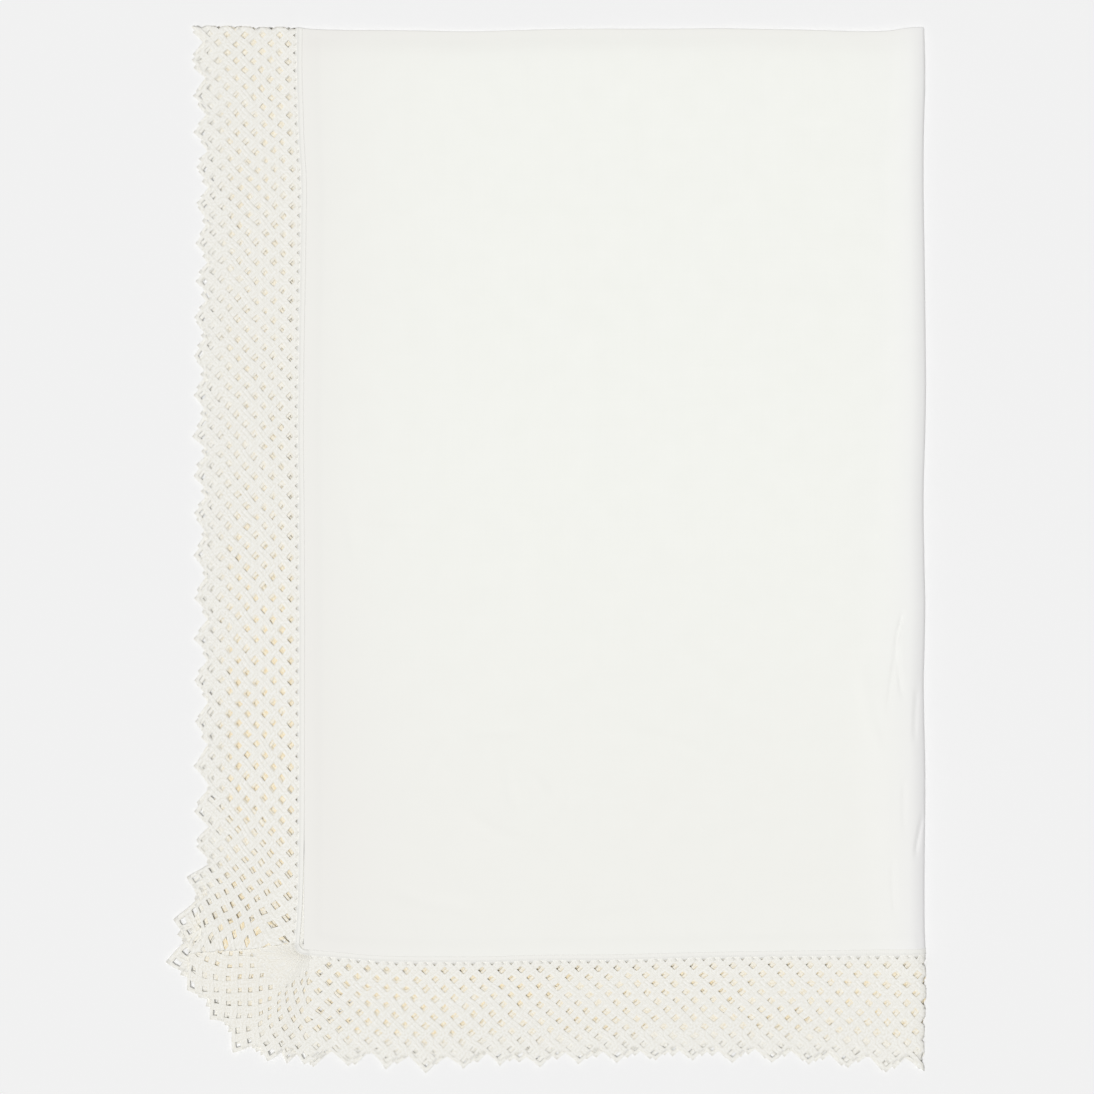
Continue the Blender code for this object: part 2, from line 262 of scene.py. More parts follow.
# Creases in the linen.  x, y: where one starts; to_x, to_y: where it ends; bow: how far its
# middle is off the straight line; half_width: of the soft trough or ridge; depth: below zero
# for a trough.  Each fades in and out over a part of its length, one over CREASE_FADE of it
CREASES = table_of(
    "x y to_x to_y bow half_width depth",
    (0.43, -0.077, 0.4195, -0.121, 0.001, 0.004, -0.0026),
    (0.4215, -0.103, 0.409, -0.208, -0.002, 0.0055, -0.0016),
    (0.4225, -0.111, 0.431, -0.188, 0.002, 0.005, -0.0014),
    (0.448, -0.163, 0.4425, -0.243, 0.001, 0.005, -0.0014),
    (0.454, -0.321, 0.4425, -0.379, 0.001, 0.0042, -0.0026),
    (0.4299, -0.278, 0.4299, -0.348, 0.001, 0.005, -0.0008),
    (0.417, -0.373, 0.4205, -0.453, 0.001, 0.0055, -0.0012),
    (0.381, -0.123, 0.407, -0.263, 0.008, 0.012, 0.001),
    (-0.153, -0.273, -0.105, -0.217, -0.006, 0.008, -0.0009),
    (-0.111, -0.22, -0.019, -0.219, -0.003, 0.008, -0.0009),
    (-0.048, -0.253, -0.039, -0.313, 0.003, 0.008, -0.0007),
    (-0.019, -0.267, 0.004, -0.299, 0.002, 0.008, 0.0007),
    (0.001, -0.329, 0.035, -0.291, 0.003, 0.008, -0.0009),
    (-0.109, -0.303, -0.009, -0.353, 0.01, 0.01, 0.0007),
    (0.061, -0.218, 0.201, -0.253, -0.01, 0.01, 0.0006),
    (0.181, -0.333, 0.301, -0.303, 0.008, 0.01, -0.0006),
    (-0.242, 0.062, -0.232, -0.023, 0.001, 0.008, -0.0007),
    (-0.199, -0.403, -0.079, -0.428, 0.006, 0.011, -0.0008),
    (0.021, -0.433, 0.161, -0.413, 0.005, 0.011, -0.0006),
    (0.138, 0.231, 0.231, 0.231, 0.003, 0.008, -0.0005),
    (0.155, 0.182, 0.207, 0.182, 0.002, 0.008, -0.0005),
    (-0.222, 0.038, -0.141, 0.038, 0.002, 0.008, -0.0006),
    (0.264, 0.512, 0.385, 0.512, 0.003, 0.008, -0.0005),
    (0.086, 0.57, 0.086, 0.53, 0.001, 0.007, -0.0005))
CREASE_FADE = 3.5


def crease_relief(x, y):
    """The linen's creases: each is a soft trough or ridge on a bowed line, fading at its ends."""
    total = np.zeros_like(x)
    for crease in CREASES:
        run_x, run_y = crease["to_x"] - crease["x"], crease["to_y"] - crease["y"]
        length = math.hypot(run_x, run_y)
        share = ((x - crease["x"]) * run_x + (y - crease["y"]) * run_y) / length**2
        off = ((x - crease["x"]) * run_y - (y - crease["y"]) * run_x) / length
        off = off - crease["bow"] * 4.0 * share * (1.0 - share)
        fade = ease(CREASE_FADE * share) * ease(CREASE_FADE * (1.0 - share))
        total = total + crease["depth"] * hump(off, crease["half_width"]) * fade
    return total


# The second fold's roll is highest this share of its width in, and this many widths broad
ROLL_CREST = 0.6
ROLL_SPREAD = 1.7


def settled(x, y, z):
    """The folded cloth as it lies: its uneven outline, loose roll, creases and gathered corner.

    Heights above the underside are multiplied by one plus a puff, so layers never cross and the
    underside stays flat; creases grow from nothing at the underside to whole at the top.
    """
    free_x, free_y = FOLD_X - PANEL_HALF_WIDTH, FOLD_Y - PANEL_HALF_LENGTH
    back = smooth_through(FIRST_FOLD_LINE, "x", "back", x)
    towards_first = np.clip((y - free_y) / PANEL_HALF_LENGTH, 0.0, 1.0)
    out = smooth_through(SECOND_FOLD_LINE, "y", "out", y)
    towards_second = np.clip((x - free_x) / PANEL_HALF_WIDTH, 0.0, 1.0)

    width = smooth_through(SECOND_FOLD_ROLL, "y", "width", y)
    crest = hump(FOLD_X - ROLL_CREST * width - x, ROLL_SPREAD * width)
    puff = smooth_through(SECOND_FOLD_ROLL, "y", "puff", y) * crest
    droop = smooth_through(SECOND_FOLD_ROLL, "y", "droop", y)
    puff = puff - droop * np.clip(1.0 - (FOLD_X - x) / SECOND_FOLD_SLOPE, 0.0, 1.0)**2
    droop = smooth_through(FIRST_FOLD_LINE, "x", "droop", x)
    puff = puff - droop * hump(FOLD_Y - y, FIRST_FOLD_SLOPE)
    puff = puff + corner_puff(free_x - x, free_y - y)
    share = (z - BOTTOM_SHEET) / (3.0 * LAYER_PITCH)
    z = BOTTOM_SHEET + (z - BOTTOM_SHEET) * (1.0 + puff) + share**2 * crease_relief(x, y)
    hem_hangs = smooth_through(HANGING_LINE, "x", "hem", x)
    tips_hang = smooth_through(HANGING_LINE, "x", "tip", x)
    past_hem = np.clip((free_y - y) / LACE_DEPTH, 0.0, 1.0)
    hang = hem_hangs * (1.0 - towards_first) + (tips_hang - hem_hangs) * past_hem
    pulled_in = smooth_through(SIDE_LINE, "y", "in", y) * (1.0 - towards_second)
    return x + out * towards_second + pulled_in, y - back * towards_first - hang, z


# The gathered corner's loose pleats, which lift all the layers.  turn: degrees from the long
# side's outward direction to the ridge; half_angle: its spread; puff: how much it lifts
CORNER_PLEATS = table_of(
    "turn half_angle puff",
    (-16.0, 12.0, 0.42), (6.0, 10.0, 0.4), (36.0, 13.0, 0.65), (74.0, 12.0, 0.75))
# How far from the panel's corner they start and take to rise, and where they are fullest
PLEATS_START = 0.020
PLEATS_RISE = 0.090
PLEATS_FULLEST = 0.10
PLEATS_SPREAD = 0.12


def corner_puff(out_x, out_y):
    """Ridges that run out from the panel's corner, growing outwards from nothing."""
    distance = np.hypot(out_x, out_y)
    direction = np.degrees(np.arctan2(out_y, out_x))
    rise = np.clip((distance - PLEATS_START) / PLEATS_RISE, 0.0, 1.0)
    total = np.zeros_like(distance)
    for pleat in CORNER_PLEATS:
        total = total + pleat["puff"] * rise * hump(direction - pleat["turn"], pleat["half_angle"])
    return total * hump(distance - PLEATS_FULLEST, PLEATS_SPREAD)


def grid_faces(columns, rows):
    """The four-cornered faces of a grid whose vertices are numbered row by row."""
    corner = (np.arange(rows - 1)[:, None] * columns + np.arange(columns - 1)).ravel()
    return np.stack([corner, corner + 1, corner + columns + 1, corner + columns], axis=1)


def cloth_mesh(name, points, faces, uv, painted_shade=None):
    """A smooth mesh from arrays of points, faces, a UV place for each point, and how much painted
    shade each point gets from zero to one: near the linen's hems and folds, or inside the stack of
    lace."""
    mesh = bpy.data.meshes.new(name)
    mesh.from_pydata(points.reshape(-1, 3).tolist(), [], faces)
    corners = np.empty(len(mesh.loops), dtype=np.int32)
    mesh.loops.foreach_get("vertex_index", corners)
    layer = mesh.uv_layers.new(name="flat cloth")
    layer.data.foreach_set("uv", uv.reshape(-1, 2)[corners].ravel())
    if painted_shade is not None:
        painted_shades = mesh.attributes.new("painted_shade", "FLOAT", "POINT")
        painted_shades.data.foreach_set("value", painted_shade.ravel())
    mesh.shade_smooth()
    piece = bpy.data.objects.new(name, mesh)
    scene.collection.objects.link(piece)
    return piece


# The hem stands up over a slope at its inner line, is soft at its edge, and is flat by a fold
HEM_WIDTH = 0.018
HEM_RISE = 0.0003
HEM_SLOPE = 0.002
HEM_EDGE = 0.0015
HEM_EDGE_FALL = 0.8
HEM_FOLD_GAP = 0.01
FINE_STEP = 0.0056
COARSE_STEP = 0.0300
# Beside the second fold, where the creases are, the steps are closer still
CLOSE_STEP = 0.0020
CLOSE_WIDTH = 0.060
FIRST_FOLD_STEPS = 4
SECOND_FOLD_STEPS = 6


def half_stations(half_size, radius, fold_steps, step, close_width=0.0):
    """Distances from a fold's middle: its quarter turn, close steps, even steps, hem lines."""
    arc = math.pi * radius / 2
    in_fold = np.linspace(0.0, arc, fold_steps + 1)
    hem_start = half_size - HEM_WIDTH
    close = np.arange(arc + CLOSE_STEP, close_width, CLOSE_STEP)
    last = close[-1] if len(close) else arc
    half_slope = HEM_SLOPE / 2
    straight = np.linspace(last, hem_start - half_slope, max(2, round((hem_start - last) / step)))
    hem = half_size - np.array([HEM_WIDTH - half_slope, HEM_WIDTH / 2, HEM_EDGE, 0.0])
    return np.concatenate([in_fold, close, straight[1:], hem])


def panel_points(across, along):
    """The linen's middle surface: folded and settled, with its turned hem a little thicker."""
    edge = np.minimum(PANEL_HALF_WIDTH - np.abs(across), PANEL_HALF_LENGTH - np.abs(along))
    x, y, z = settled(*folded(across, along))
    hem = np.clip((HEM_WIDTH - edge) / HEM_SLOPE + 0.5, 0.0, 1.0)
    hem = hem - np.clip((HEM_EDGE - edge) / HEM_SLOPE, 0.0, HEM_EDGE_FALL)
    facing = np.where(across < 0.0, -1.0, 1.0) * np.where(along < 0.0, 1.0, -1.0)
    clear_of_folds = np.minimum(np.abs(across), np.abs(along)) > HEM_FOLD_GAP
    lift = np.where(clear_of_folds, facing * HEM_RISE * hem, 0.0)
    return np.stack([x, y, np.maximum(z + lift, BOTTOM_SHEET)], axis=-1)


ACROSS_TURN = (PANEL_HALF_WIDTH, SECOND_FOLD_RADIUS, SECOND_FOLD_STEPS)
ALONG_TURN = (PANEL_HALF_LENGTH, FIRST_FOLD_RADIUS, FIRST_FOLD_STEPS)
coarse_across = half_stations(*ACROSS_TURN, COARSE_STEP)
fine_across = half_stations(*ACROSS_TURN, FINE_STEP, CLOSE_WIDTH)
coarse_along = half_stations(*ALONG_TURN, COARSE_STEP)
fine_along = half_stations(*ALONG_TURN, FINE_STEP)
across_stations = np.concatenate([-coarse_across[:0:-1], fine_across])
along_stations = np.concatenate([-fine_along[:0:-1], coarse_along])
panel_across, panel_along = np.meshgrid(across_stations, along_stations)


# Painted shade on the linen, creamier and darker: how much at the side hems, the end hems and
# the first fold, and over what width
SHADE_AT_SIDE = 0.85
SHADE_SIDE_WIDTH = 0.075
SHADE_AT_END = 0.50
SHADE_END_FROM = 0.45
SHADE_AT_FOLD = 0.70
SHADE_FOLD_WIDTH = 0.022
# Painted grey shade on the linen at the second fold's roll: over what width, and its share in the
# cloth's middle
SECOND_FOLD_SHADE_WIDTH = 0.030
SECOND_FOLD_SHADE_IN_MIDDLE = 0.75


def hem_and_fold_shade(across, along):
    """Painted shade, creamier and darker, towards the hems and folds: soft fades in from each."""
    to_side = SHADE_AT_SIDE * np.exp((np.abs(across) - PANEL_HALF_WIDTH) / SHADE_SIDE_WIDTH)
    past_middle = (np.abs(along) - SHADE_END_FROM) / (PANEL_HALF_LENGTH - SHADE_END_FROM)
    to_fold = SHADE_AT_FOLD * np.exp(-np.abs(along) / SHADE_FOLD_WIDTH)
    return np.clip(to_side + SHADE_AT_END * ease(past_middle) + to_fold, 0.0, 1.0)


def second_fold_shade(across, along):
    """How much painted grey shade the linen has at the second fold's roll: a soft fade away from
    it, a little less towards the cloth's middle."""
    to_end = np.abs(along) / PANEL_HALF_LENGTH
    share = SECOND_FOLD_SHADE_IN_MIDDLE + (1.0 - SECOND_FOLD_SHADE_IN_MIDDLE) * to_end
    return share * np.exp(-np.abs(across) / SECOND_FOLD_SHADE_WIDTH)


# The linen's painted shade at its hems, ends and first fold goes on as one point attribute
linen_panel = cloth_mesh(
    "linen_cloth", panel_points(panel_across, panel_along),
    grid_faces(len(across_stations), len(along_stations)).tolist(),
    np.stack([panel_across, panel_along], axis=-1),
    hem_and_fold_shade(panel_across, panel_along))
# The painted grey shade at the second fold goes on as a second point attribute
second_fold_shade_values = linen_panel.data.attributes.new("second_fold_shade", "FLOAT", "POINT")
second_fold_shade_values.data.foreach_set("value", second_fold_shade(panel_across, panel_along).ravel())
LINEN_THICKNESS = 0.0007
panel_thickness = linen_panel.modifiers.new("cloth thickness", "SOLIDIFY")
panel_thickness.thickness = LINEN_THICKNESS
panel_thickness.offset = 0.0


def worked_out(group, operation, *values):
    """A Math node's output; each value is a number or another node's output."""
    node = group.nodes.new("ShaderNodeMath")
    node.operation = operation
    return feed(group, node, dict(enumerate(values))).outputs[0]


def noise(group, place, scale, detail):
    """A Noise Texture's output at a place on the cloth."""
    node = feed(group, group.nodes.new("ShaderNodeTexNoise"),
                {"Vector": place, "Scale": scale, "Detail": detail})
    return node.outputs["Fac"]


def turned_ribs(group, place, pitch, turn):
    """Ribs across the cloth, turned in its plane: the sine of the distance over the pitch."""
    turned = feed(group, group.nodes.new("ShaderNodeMapping"),
                  {"Vector": place, "Rotation": (0.0, 0.0, turn)})
    axis = feed(group, group.nodes.new("ShaderNodeSeparateXYZ"),
                {"Vector": turned.outputs["Vector"]})
    count = worked_out(group, "DIVIDE", axis.outputs["X"], pitch)
    return worked_out(group, "SINE", count)


def thread_group(name):
    """An empty node group on the flat cloth, with a pitch in and a tint and a height out."""
    group = bpy.data.node_groups.new(name, "ShaderNodeTree")
    for socket, way in (("Pitch", "INPUT"), ("Tint", "OUTPUT"), ("Height", "OUTPUT")):
        group.interface.new_socket(socket, in_out=way, socket_type="NodeSocketFloat")
    inlet, outlet = group.nodes.new("NodeGroupInput"), group.nodes.new("NodeGroupOutput")
    flat_cloth = group.nodes.new("ShaderNodeUVMap")
    flat_cloth.uv_map = "flat cloth"
    return group, flat_cloth.outputs["UV"], inlet.outputs["Pitch"], outlet


# The slubs' noise and the clouds', in waves a metre, and the clouds' share of the tint and the
# weave's of the relief
ALONG_SLUBS = 9.0
ACROSS_SLUBS = 420.0
CLOUDS = 30.0
CLOUDS_SHARE = 0.6
WEAVE_SHARE = 0.25


def slub_threads():
    """A node group for plain-woven cloth: threads both ways, some thicker than others.

    Two long-drawn noises, one along each thread direction, make the slubs; fine sine ribs
    crossing each other make the weave, and a slow cloudy noise the uneven bleaching.
    """
    group, flat, pitch, outlet = thread_group("slub threads")
    slubs, ribs = [], []
    for stretch, turn in (((ALONG_SLUBS, ACROSS_SLUBS, 1.0), 0.0),
                          ((ACROSS_SLUBS, ALONG_SLUBS, 1.0), math.pi / 2)):
        drawn_out = feed(group, group.nodes.new("ShaderNodeMapping"),
                         {"Vector": flat, "Scale": stretch})
        slubs.append(noise(group, drawn_out.outputs["Vector"], 1.0, 2.0))
        ribs.append(turned_ribs(group, flat, pitch, turn))
    slub = worked_out(group, "MULTIPLY", worked_out(group, "ADD", *slubs), 0.5)
    weave = worked_out(group, "MULTIPLY", *ribs)
    uneven = feed(group, group.nodes.new("ShaderNodeMix"),
                  {"Factor": CLOUDS_SHARE, "A": slub, "B": noise(group, flat, CLOUDS, 4.0)})
    height = worked_out(group, "MULTIPLY_ADD", weave, WEAVE_SHARE, slub)
    feed(group, outlet, {"Tint": uneven.outputs["Result"], "Height": height})
    return group


THREAD_RELIEF = 0.0003


def cloth_finish(name, threads, pitch, specular, roughness, bump):
    """A material whose threads' height gives its roughness, from low to high, and its bump."""
    finish = bpy.data.materials.new(name)
    finish.use_nodes = True
    tree, nodes = finish.node_tree, finish.node_tree.nodes
    pattern = nodes.new("ShaderNodeGroup")
    pattern.node_tree = threads
    feed(tree, pattern, {"Pitch": pitch})
    height = pattern.outputs["Height"]
    spread = feed(tree, nodes.new("ShaderNodeMapRange"),
                  {"To Min": roughness[0], "To Max": roughness[1], "Value": height})
    relief = feed(tree, nodes.new("ShaderNodeBump"),
                  {"Strength": bump, "Distance": THREAD_RELIEF, "Height": height})
    shader = feed(tree, nodes["Principled BSDF"],
                  {"Specular IOR Level": specular, "Roughness": spread.outputs["Result"],
                   "Normal": relief.outputs["Normal"]})
    return finish, shader, pattern.outputs["Tint"]


def between(finish, share, first, second):
    """A colour between two others, which are colours or other nodes' outputs.

    The share is another node's output, or the name of an attribute of the cloth's points.
    """
    nodes = finish.node_tree.nodes
    mix = nodes.new("ShaderNodeMix")
    mix.data_type = "RGBA"
    if isinstance(share, str):
        attribute = nodes.new("ShaderNodeAttribute")
        attribute.attribute_name = share
        share = attribute.outputs["Fac"]
    feed(finish.node_tree, mix, {"Factor": share, "A": first, "B": second})
    return mix.outputs["Result"]


LINEN_LIGHT = (0.990, 0.998, 0.955, 1.0)
LINEN_SHADE = (0.935, 0.945, 0.895, 1.0)
LINEN_PAINTED_SHADE = (0.918, 0.907, 0.872, 1.0)
LINEN_FOLD_SHADE = (0.928, 0.922, 0.925, 1.0)
THREAD_PITCH = 0.00025
linen, linen_shader, linen_tint = cloth_finish(
    "bleached slub linen", slub_threads(), THREAD_PITCH, specular=0.1, roughness=(0.96, 0.82),
    bump=0.15)
linen_colour = between(linen, linen_tint, LINEN_SHADE, LINEN_LIGHT)
# Painted shade: creamier and darker towards the hems, the ends and the first fold
linen_colour = between(linen, "painted_shade", linen_colour, LINEN_PAINTED_SHADE)
# Painted shade: greyer at the second fold's roll
linen_colour = between(linen, "second_fold_shade", linen_colour, LINEN_FOLD_SHADE)
feed(linen.node_tree, linen_shader, {"Base Color": linen_colour, "Sheen Weight": 0.05})
linen_panel.data.materials.append(linen)

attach(linen_panel, "root")
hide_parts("linen_panel")


# ----------------------------------------------------------
# The lace border: a net of square meshes set on the point, each framed by its own narrow cotton
# braid, so two lie side by side between neighbouring holes and one alone goes round a tooth.
# Places on it are counted in cells round the cloth and in half-cell rows from the heading.
# ----------------------------------------------------------
SIDE_CELLS = 46
END_CELLS = 32
ROWS = 12
HEADING_WIDTH = 0.0058
HEM_GAP = 0.0004
HEM_CORNER_RADIUS = 0.008
SIDE_REACH = 0.1275
END_REACH = 0.1378

# How the lace turns each layer's gathered corner.  cell: place round the edge; turn: the way it
# points, in degrees from the long side's outward direction; reach: its depth
BOTTOM_CORNER = table_of(
    "cell turn reach",
    (39, 0.0, SIDE_REACH), (43, -5.0, 0.13), (46, -3.0, 0.145), (48, 14.0, 0.148),
    (50, 33.0, 0.135), (52, 49.0, 0.135), (54, 65.0, 0.137), (56, 80.0, 0.136),
    (58, 90.0, END_REACH))
SECOND_CORNER = table_of(
    "cell turn reach",
    (39, 0.0, SIDE_REACH), (43, -7.0, 0.129), (46, -6.0, 0.136), (48, 7.0, 0.145),
    (50, 22.0, 0.143), (52, 37.0, 0.136), (54, 53.0, 0.14), (57, 72.0, 0.137),
    (60, 90.0, END_REACH))
THIRD_CORNER = table_of(
    "cell turn reach",
    (39, 0.0, SIDE_REACH), (43, -8.0, 0.131), (46, -8.0, 0.156), (48, 9.5, 0.164),
    (50, 27.0, 0.14), (52, 45.0, 0.134), (54, 62.0, 0.137), (56, 78.0, 0.135),
    (58, 90.0, END_REACH))
# The top layer's lace is laid over itself in one flat pleat.  lift: off the layer; out, on: how
# far the net, clear of its gathered heading, is carried outwards from the long side and on past
# it; slack: how far the heading itself stands off the hem
TOP_CORNER = table_of(
    "cell turn reach lift out on slack",
    (40.0, 0.0, SIDE_REACH, 0.0, 0.0, 0.0, 0.0),
    (42.5, -1.0, 0.119, 0.0006, 0.006, 0.0, 0.0004),
    (44.5, 1.0, 0.111, 0.002, 0.015, 0.0, 0.0014),
    (45.9, 3.5, 0.106, 0.0042, 0.023, 0.0, 0.0036),
    (46.2, 4.0, 0.1055, 0.0038, 0.0235, 0.005, 0.004),
    (46.5, 4.0, 0.1055, 0.0024, 0.0235, -0.002, 0.0042),
    (47.2, 5.0, 0.11, 0.0016, 0.01, -0.034, 0.0044),
    (47.5, 6.0, 0.115, 0.0006, 0.006, -0.037, 0.0045),
    (48.5, 18.0, 0.123, 0.0003, 0.0116, -0.045, 0.0045),
    (50.0, 36.0, 0.123, 0.0002, 0.044, -0.053, 0.0042),
    (52.0, 45.0, 0.123, 0.0002, 0.0467, -0.0338, 0.0034),
    (54.0, 47.0, 0.123, 0.0004, 0.0258, -0.008, 0.0026),
    (56.0, 54.0, 0.1357, 0.0006, 0.0068, 0.0093, 0.0016),
    (58.0, 72.0, 0.134, 0.001, 0.0068, 0.0029, 0.0006),
    (60.0, 88.0, 0.135, 0.0004, 0.002, 0.0, 0.0),
    (62.0, 90.0, END_REACH, 0.0, 0.0, 0.0, 0.0))
# How far the pleat's folds lean across the rows, in cells a row, and the cells where they do
PLEAT_LEAN = 0.154
PLEAT_CELLS = (40.8, 46.8, 49.0, 53.0)
GATHERED_ROWS = 3.5
# The thin net sinks lower than the hems that it hangs from, by this share, within these rows
NET_SINKS = 0.55
SINKING_ROWS = 2.2
# The net draws up over the first and the last of so many parts of a side or an end
DRAWING_UP = 8.0

# Each layer's lace in its order round the cloth.  across, along: its side of the flat cloth;
# corner_cells: how many are gathered in; side_drift, end_drift: how far the lace has crept
# towards the corner in the middle of a side; side_slide, end_slide: how far it has crept at the
# first and the second fold; short: the share of its depth that it has drawn up by, clear of the
# folds and the corner.  upper: the side that lies upwards, one for the right side; depth: how much
# painted warm shade that side gets; outer: the side that shows outside the stack
LACE_LAYERS = table_of(
    "name across along corner corner_cells side_drift end_drift side_slide end_slide short"
    " upper depth outer",
    ("third", 1, 1, THIRD_CORNER, 12, -0.029, 0.004, 0.0, 0.006, 0.02, -1, 0.35, 0),
    ("second", -1, 1, SECOND_CORNER, 14, -0.017, -0.017, 0.006, -0.006, 0.055, 1, 0.85, 0),
    ("bottom", -1, -1, BOTTOM_CORNER, 12, -0.043, -0.011, -0.006, 0.0, 0.035, -1, 1.0, 1),
    ("top", 1, -1, TOP_CORNER, 14, -0.035, 0.001, 0.0, 0.0, 0.0, 1, 0.0, 1))
QUARTER_CELLS = SIDE_CELLS + column(LACE_LAYERS, "corner_cells") + END_CELLS
QUARTER_STARTS = np.concatenate([[0], np.cumsum(QUARTER_CELLS)])
RING_CELLS = QUARTER_STARTS[-1]

# How the net is pulled out of true.  round: waves in the whole border; out: waves from heading
# to tip; cells, rows: how far it moves round the cloth and outwards.  The first rows are held
NET_PULLS = table_of(
    "round out cells rows",
    (41, 1.3, 0.05, 0.05), (67, -2.1, 0.04, 0.06), (139, 2.9, 0.03, 0.04),
    (171, -4.3, 0.02, 0.03))
HELD_ROWS = 3.0


def pulled(ring_cell, row):
    """The net's cells and rows, pulled out of true by a few waves that cross it both ways.

    Every wave is a sine of the place round the cloth plus the place out from the heading, and
    fades to nothing at the heading, where the lace is sewn.
    """
    loose = np.clip(row / HELD_ROWS, 0.0, 1.0)
    cell_shift, row_shift = 0.0, 0.0
    for number, pull in enumerate(NET_PULLS):
        turns = pull["round"] * ring_cell / RING_CELLS + pull["out"] * row / ROWS
        phase = 2.0 * math.pi * turns + number
        cell_shift = cell_shift + pull["cells"] * np.sin(phase)
        row_shift = row_shift + pull["rows"] * np.cos(phase)
    return ring_cell + loose * cell_shift, row + loose * row_shift


def pleat_line(cell, row):
    """Cells counted along the pleat's leaning folds instead of straight out from the heading."""
    lean_on, full, lean_off, straight = PLEAT_CELLS
    leaning = ease((cell - lean_on) / (full - lean_on))
    leaning = leaning * (1.0 - ease((cell - lean_off) / (straight - lean_off)))
    return cell - PLEAT_LEAN * leaning * np.maximum(row, 0.0)


def along_hem(half_size, share, drift, slide):
    """How far along a hem the lace lies, and how clear it is of the fold and the corner.

    Its cells share the hem evenly, bowed by the drift and carried by the slide at the fold.
    """
    place = (half_size - HEM_CORNER_RADIUS) * share
    place = place + 4.0 * drift * share * (1.0 - share) + slide * (1.0 - share)
    return place, ease(DRAWING_UP * share) * ease(DRAWING_UP * (1.0 - share))


def lace_middle(ring_cell, row):
    """The lace's middle surface, from its cell round the cloth and its row out from the heading.

    The heading follows the hem.  From each heading point the lace runs straight out in the way
    it points there, its depth shared evenly by the rows.  The top layer's net is also carried
    away from its gathered heading, back and on again, which lays it in a pleat; the lift keeps
    the pleat's folds apart.
    """
    ring_cell, row = pulled(ring_cell, row)
    ring_cell = np.mod(ring_cell, RING_CELLS)
    quarter = np.clip(np.searchsorted(QUARTER_STARTS, ring_cell, side="right") - 1, 0, 3)
    x, y, z = (np.empty(ring_cell.shape) for _ in range(3))
    for number, layer in enumerate(LACE_LAYERS):
        here = quarter == number
        cell = ring_cell[here] - QUARTER_STARTS[number]
        # A layer's cells count from the first fold, which every other layer ends at
        if number % 2:
            cell = QUARTER_CELLS[number] - cell
        if layer["name"] == "top":
            cell = pleat_line(cell, row[here])
        corner_share = np.clip((cell - SIDE_CELLS) / layer["corner_cells"], 0.0, 1.0)
        hem_turn = corner_share * math.pi / 2
        side_share = np.clip(cell / SIDE_CELLS, 0.0, 1.0)
        end_share = np.clip((QUARTER_CELLS[number] - cell) / END_CELLS, 0.0, 1.0)
        drift, slide = layer["side_drift"], layer["side_slide"]
        along, side_clear = along_hem(PANEL_HALF_LENGTH, side_share, drift, slide)
        drift, slide = layer["end_drift"], layer["end_slide"]
        across, end_clear = along_hem(PANEL_HALF_WIDTH, end_share, drift, slide)
        seam = HEM_CORNER_RADIUS + HEM_GAP
        if layer["name"] == "top":
            seam = seam + smooth_through(layer["corner"], "cell", "slack", cell)
        turn = np.radians(smooth_through(layer["corner"], "cell", "turn", cell))
        reach = smooth_through(layer["corner"], "cell", "reach", cell)
        reach = reach * (1.0 - layer["short"] * (side_clear + end_clear))
        depth = HEADING_WIDTH + row[here] / ROWS * reach
        across = across + seam * np.cos(hem_turn) + depth * np.cos(turn)
        along = along + seam * np.sin(hem_turn) + depth * np.sin(turn)
        lift = 0.0
        if layer["name"] == "top":
            free = ease(row[here] / GATHERED_ROWS)
            across = across + free * smooth_through(layer["corner"], "cell", "out", cell)
            along = along + free * smooth_through(layer["corner"], "cell", "on", cell)
            lift = free * smooth_through(layer["corner"], "cell", "lift", cell)
        on_cloth = folded(layer["across"] * across, layer["along"] * along)
        x[here], y[here], high = settled(*on_cloth)
        sunk = 1.0 - NET_SINKS * ease(row[here] / SINKING_ROWS)
        z[here] = BOTTOM_SHEET + (high - BOTTOM_SHEET) * sunk + lift
    return np.stack([x, y, z], axis=-1)


def lace_points(ring_cell, row, height, step=0.02):
    """Points off the lace's middle surface, along its own normal from small steps both ways."""
    round_step = lace_middle(ring_cell + step, row) - lace_middle(ring_cell - step, row)
    out_step = lace_middle(ring_cell, row + step) - lace_middle(ring_cell, row - step)
    normal = np.cross(round_step, out_step)
    normal = normal / np.maximum(np.linalg.norm(normal, axis=-1, keepdims=True), 1e-12)
    points = lace_middle(ring_cell, row) + normal * height[..., None]
    points[..., 2] = np.maximum(points[..., 2], 0.0)
    return points


def tube_faces(count, rings, sides, flipped):
    """The faces of many closed tubes: their walls, and a flat cap at each end."""
    tube = (np.arange(count) * rings * sides)[:, None, None]
    ring = (np.arange(rings - 1) * sides)[:, None]
    side = np.arange(sides)
    after = np.roll(side, -1)
    walls = np.stack([tube + ring + side, tube + ring + after,
                      tube + ring + sides + after, tube + ring + sides + side], axis=-1)
    start = tube[:, 0] + side[::-1]
    end = tube[:, 0] + (rings - 1) * sides + side
    if flipped:
        walls, start, end = walls[..., ::-1], start[:, ::-1], end[:, ::-1]
    return walls.reshape(-1, 4).tolist() + start.tolist() + end.tolist()


# A braid's flat, soft-edged cross-section: across, as a share of its half-width, and height, of
# its half-thickness
BRAID_SECTION = table_of(
    "across height",
    (-1.0, -0.2), (-0.95, 0.55), (-0.78, 0.88), (0.0, 1.0), (0.78, 0.88), (0.95, 0.55),
    (1.0, -0.2), (0.7, -0.95), (-0.7, -0.95))
BRAID_OFFSET = 0.138
BRAID_HALF_WIDTH = 0.145
BRAID_HALF_THICKNESS = 0.00037
WEAVE_HEIGHT = 0.00015
# Where braids end, in rows: on a tooth's own edge, in a valley, and against a tooth's edge
TIP_END = ROWS + 0.01
VALLEY_END = ROWS - 2 + 0.20
INNER_END = ROWS - 1 - 0.05
BAR_LENGTH = 0.0165
